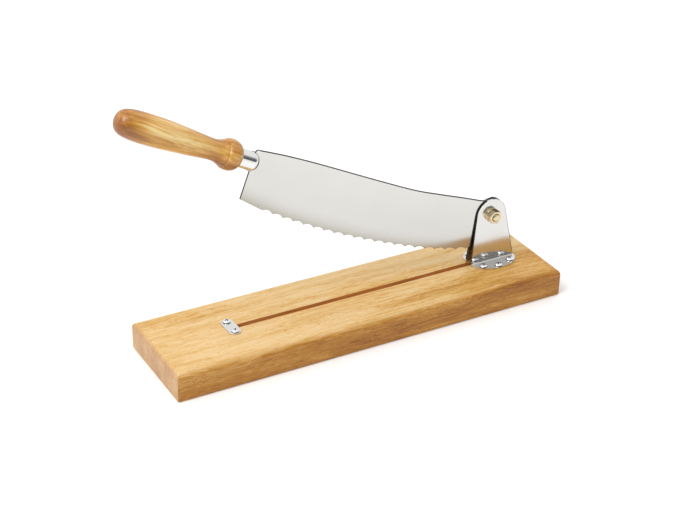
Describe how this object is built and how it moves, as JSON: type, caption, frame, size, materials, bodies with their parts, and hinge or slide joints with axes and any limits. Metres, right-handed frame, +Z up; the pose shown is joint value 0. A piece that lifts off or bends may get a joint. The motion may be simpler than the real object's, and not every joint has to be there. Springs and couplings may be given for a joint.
{
  "type": "bread slicer",
  "caption": "Hinged bread slicer: a serrated steel blade with a turned wooden handle swings about a bracketed pivot and cuts down into a grooved beech board.",
  "frame": {"origin": "Centre of the board's underside, on the plane the board stands on.", "axes": "+X runs along the board from the handle end to the pivot end, +Y from the near long side to the far one, +Z up."},
  "size_m": [0.4685, 0.11, 0.2839],
  "materials": {
    "beech_board": "planed and oiled, satin",
    "plate_steel": "fine brushed stainless sheet",
    "bracket_steel": "polished stainless sheet",
    "screw_steel": "bright nickel plate",
    "nylon": "natural nylon",
    "pivot_brass": "polished brass",
    "blade_steel": "polished stainless, faint length-wise grain",
    "ferrule_chrome": "bright chrome",
    "handle_wood": "turned hardwood, clear gloss lacquer"
  },
  "bodies": {
    "stand": {"base_board": "beech_board", "stop_plate": "plate_steel", "bracket_front": "bracket_steel", "bracket_rear": "bracket_steel", "bracket_front_screw_left": "screw_steel", "bracket_front_screw_middle": "screw_steel", "bracket_front_screw_right": "screw_steel", "bracket_rear_screw_left": "screw_steel", "bracket_rear_screw_middle": "screw_steel", "bracket_rear_screw_right": "screw_steel", "stop_plate_screw_front": "screw_steel", "stop_plate_screw_rear": "screw_steel", "pivot_spacer_front": "nylon", "pivot_spacer_rear": "nylon", "pivot_washer_front": "pivot_brass", "pivot_washer_rear": "pivot_brass", "pivot_bolt": "pivot_brass", "pivot_nut": "pivot_brass"},
    "blade_arm": {"blade": "blade_steel", "ferrule": "ferrule_chrome", "handle": "handle_wood"}
  },
  "joints": [
    {"name": "blade_pivot", "type": "hinge", "parent": "stand", "child": "blade_arm", "pos_m": [0.163, 0, 0.085], "axis": [0, 1, 0], "range_deg": [-26.3, 84]}
  ]
}
